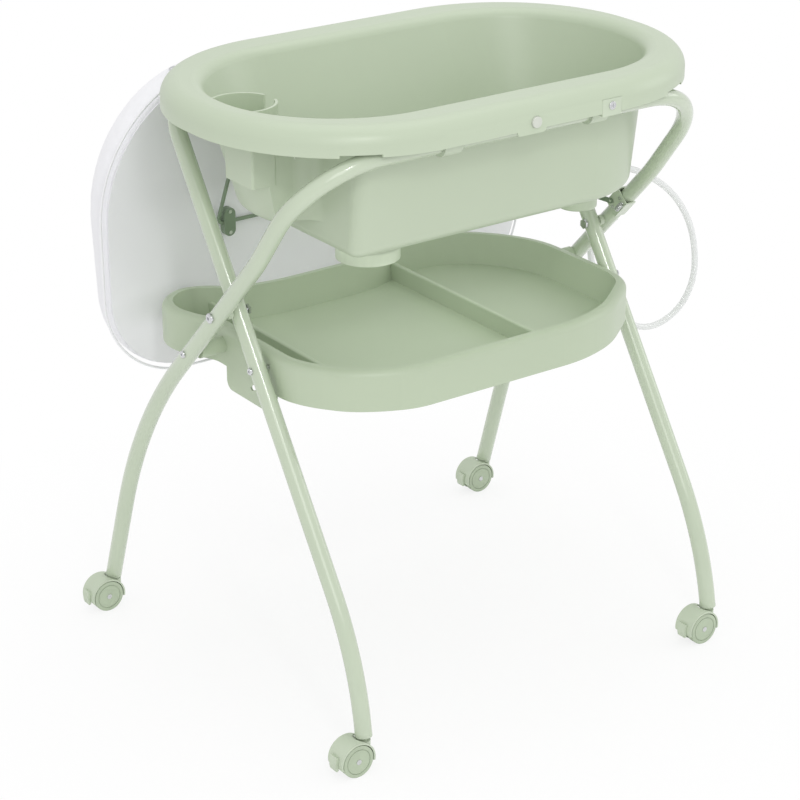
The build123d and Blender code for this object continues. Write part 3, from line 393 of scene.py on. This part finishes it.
# %% Piping round the mat
mat_half, mat_low, mat_high = 0.392, 0.401, 0.874
upper_r, lower_r = 0.225, 0.135
piping_inset, piping_step, corner_points = 0.0012, 0.006, 40
piping_proud, piping_radius, piping_sides = 0.0016, 0.0019, 12


def mat_edge(inset, count):
    """Points round the outline: each corner is centre + r (cos a, sin a), joined by straight sides."""
    corners = ((1, mat_high, upper_r, 0.0), (-1, mat_high, upper_r, 0.5), (-1, mat_low, lower_r, 1.0),
               (1, mat_low, lower_r, 1.5))
    parts = []
    for side, level, radius, begin in corners:
        centre_x = side * (mat_half - radius)
        centre_z = level - radius if level == mat_high else level + radius
        angle = np.pi * (begin + np.linspace(0.0, 0.5, count))
        parts.append(np.stack([centre_x + (radius - inset) * np.cos(angle), np.zeros(count),
                               centre_z + (radius - inset) * np.sin(angle)], axis=1))
    return np.concatenate(parts)


def even(path, step):
    """The closed path divided again into equal steps along its length."""
    loop = np.vstack([path, path[:1]])
    run = np.concatenate([[0.0], np.cumsum(np.linalg.norm(np.diff(loop, axis=0), axis=1))])
    at = np.linspace(0.0, run[-1], int(run[-1] / step), endpoint=False)
    return np.stack([np.interp(at, run, loop[:, axis]) for axis in range(3)], axis=1)


piping_line = even(mat_edge(piping_inset, corner_points), piping_step)
piping_line[:, 1] = face_y + piping_proud
mat_piping = grid_mesh("mat_piping", tube_grid(piping_line, piping_radius, piping_sides), wrap_u=True)
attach(mat_piping, "mat")
print("piping runs", round(len(piping_line) * piping_step, 3), "m")

# %% [markdown]
# The cover is a coated cloth: a smooth white skin over a very fine weave, softly creased where it
# turns over the edges. Two noises of different size make the creases and the skin, and a sheen
# lifts it at grazing angles.

# %% Finish of the mat
mat_sheen = 0.15
mat_skin = finish("mat_cover", screen(240, 240, 243), 0.5, drift=0.012, drift_scale=7.0,
                  rough_range=0.08, rough_scale=30.0, grain_scale=60.0, grain=0.25, grain_depth=0.002)
mat_skin.node_tree.nodes["Principled BSDF"].inputs["Sheen Weight"].default_value = mat_sheen
mat_backing = finish("mat_backing", screen(237, 237, 240), 0.48, drift=0.02, drift_scale=5.0,
                     rough_range=0.06, grain_scale=900.0, grain=0.1, grain_depth=0.0003)
pad_mesh.materials.clear()
pad_mesh.materials.append(mat_skin)
mat_piping.data.materials.append(mat_skin)
dress(mat_backing, "mat_board")

# %% [markdown]
# ## Latch spring
# The latch's spring is a small open coil. It is a tube carried along a helix: a point turns about
# the spring's axis while it moves on by one pitch each turn.

# %% Coil of the latch's spring
coil_turns, coil_length, coil_radius, wire_radius = 7, 0.0165, 0.0033, 0.0006
coil_steps, wire_sides = 220, 8
spring_low, spring_high = [np.array(corner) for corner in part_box("latch_spring")]
leg_way = np.array((-0.011, -0.3265, 0.344))
leg_way /= np.linalg.norm(leg_way)
spring_middle = (spring_low + spring_high) / 2
across = np.cross(leg_way, (1.0, 0.0, 0.0))
across /= np.linalg.norm(across)
outward = np.cross(leg_way, across)
turn = np.linspace(0.0, 1.0, coil_steps)
angle = 2 * np.pi * coil_turns * turn
out_way = np.cos(angle)[:, None] * across + np.sin(angle)[:, None] * outward
helix = spring_middle + leg_way * ((turn - 0.5) * coil_length)[:, None] + coil_radius * out_way
ring = np.linspace(0, 2 * np.pi, wire_sides, endpoint=False)[None, :, None]
coil_points = helix[:, None] + wire_radius * (np.cos(ring) * out_way[:, None] + np.sin(ring) * leg_way)
spring_coil = grid_mesh("spring_coil", coil_points)
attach(spring_coil, "outer_frame")
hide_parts("latch_spring")
spring_coil.data.materials.append(chrome)

# %% [markdown]
# ## Floor and light
# A white floor takes a soft shadow near the wheels and fades into the background, which is white
# because the camera and clear rays see white there while the objects get a plain, even light.
# Area lamps from above, the front left and the right give the tubes their long highlights, and a
# faint one below the bath lifts the tray out of its shade.

# %% Floor
floor_reach, floor_back = 6, 8
floor_shade, floor_rough = 0.95, 0.9
fade_from, fade_to, fade_least = 0.35, 0.95, 0.78
floor_mesh = bpy.data.meshes.new("floor")
floor_corners = [(-floor_reach, -floor_reach, 0), (floor_reach, -floor_reach, 0),
                 (floor_reach, floor_back, 0), (-floor_reach, floor_back, 0)]
floor_mesh.from_pydata(floor_corners, [], [tuple(range(len(floor_corners)))])
floor = bpy.data.objects.new("floor", floor_mesh)
bpy.context.scene.collection.objects.link(floor)
floor_white = bpy.data.materials.new("floor_white")
floor_white.use_nodes = True
tree = floor_white.node_tree
shader = tree.nodes["Principled BSDF"]
shader.inputs["Base Color"].default_value = (floor_shade, floor_shade, floor_shade, 1.0)
shader.inputs["Roughness"].default_value = floor_rough
floor_mesh.materials.append(floor_white)
output = tree.nodes["Material Output"]
light_path = tree.nodes.new("ShaderNodeLightPath")
white = tree.nodes.new("ShaderNodeEmission")
floor_coords = tree.nodes.new("ShaderNodeTexCoord")
spread = tree.nodes.new("ShaderNodeVectorMath")
spread.operation = "LENGTH"
fade = tree.nodes.new("ShaderNodeMapRange")
fade.inputs["From Min"].default_value = fade_from
fade.inputs["From Max"].default_value = fade_to
fade.inputs["To Min"].default_value = fade_least
tree.links.new(floor_coords.outputs["Object"], spread.inputs[0])
tree.links.new(spread.outputs["Value"], fade.inputs["Value"])
seen = tree.nodes.new("ShaderNodeMath")
seen.operation = "MULTIPLY"
tree.links.new(fade.outputs["Result"], seen.inputs[0])
tree.links.new(light_path.outputs["Is Camera Ray"], seen.inputs[1])
mix = tree.nodes.new("ShaderNodeMixShader")
tree.links.new(seen.outputs["Value"], mix.inputs["Fac"])
tree.links.new(shader.outputs["BSDF"], mix.inputs[1])
tree.links.new(white.outputs["Emission"], mix.inputs[2])
tree.links.new(mix.outputs["Shader"], output.inputs["Surface"])

# %% World
plain_light = 0.84
world = bpy.data.worlds.new("world")
bpy.context.scene.world = world
world.use_nodes = True
sky = world.node_tree
background = sky.nodes["Background"]
background.inputs["Color"].default_value = (1.0, 1.0, 1.0, 1.0)
rays = sky.nodes.new("ShaderNodeLightPath")
direct = sky.nodes.new("ShaderNodeMath")
direct.operation = "MAXIMUM"
sky.links.new(rays.outputs["Is Camera Ray"], direct.inputs[0])
sky.links.new(rays.outputs["Is Transmission Ray"], direct.inputs[1])
strength = sky.nodes.new("ShaderNodeMapRange")
strength.inputs["To Min"].default_value = plain_light
sky.links.new(direct.outputs["Value"], strength.inputs["Value"])
sky.links.new(strength.outputs["Result"], background.inputs["Strength"])


# %% Lamps
def lamp(name, place, target, size, power):
    """A square area lamp at a place, facing its target."""
    data = bpy.data.lights.new(name, "AREA")
    data.size = size
    data.energy = power
    light = bpy.data.objects.new(name, data)
    bpy.context.scene.collection.objects.link(light)
    light.location = place
    light.rotation_euler = (Vector(target) - Vector(place)).to_track_quat("-Z", "Y").to_euler()
    light.visible_camera = False


tray_level, bath_level = 0.5, 0.6
lamp("lamp_top", (0.3, 0.2, 3.2), (0.0, 0.0, tray_level), size=2.4, power=13.0)
lamp("lamp_front", (-1.6, -2.6, 2.2), (0.0, 0.0, tray_level), size=1.6, power=12.0)
lamp("lamp_right", (2.8, -1.2, 1.6), (0.0, 0.0, bath_level), size=1.4, power=7.0)
lamp("lamp_glint", (-1.1, -2.4, 2.6), (0.0, 0.0, tray_level), size=0.35, power=9.0)
lamp("lamp_tray", (0.0, 0.0, 0.685), (0.0, 0.0, tray_level), size=0.45, power=0.34)
bpy.context.scene.view_settings.view_transform = "Standard"
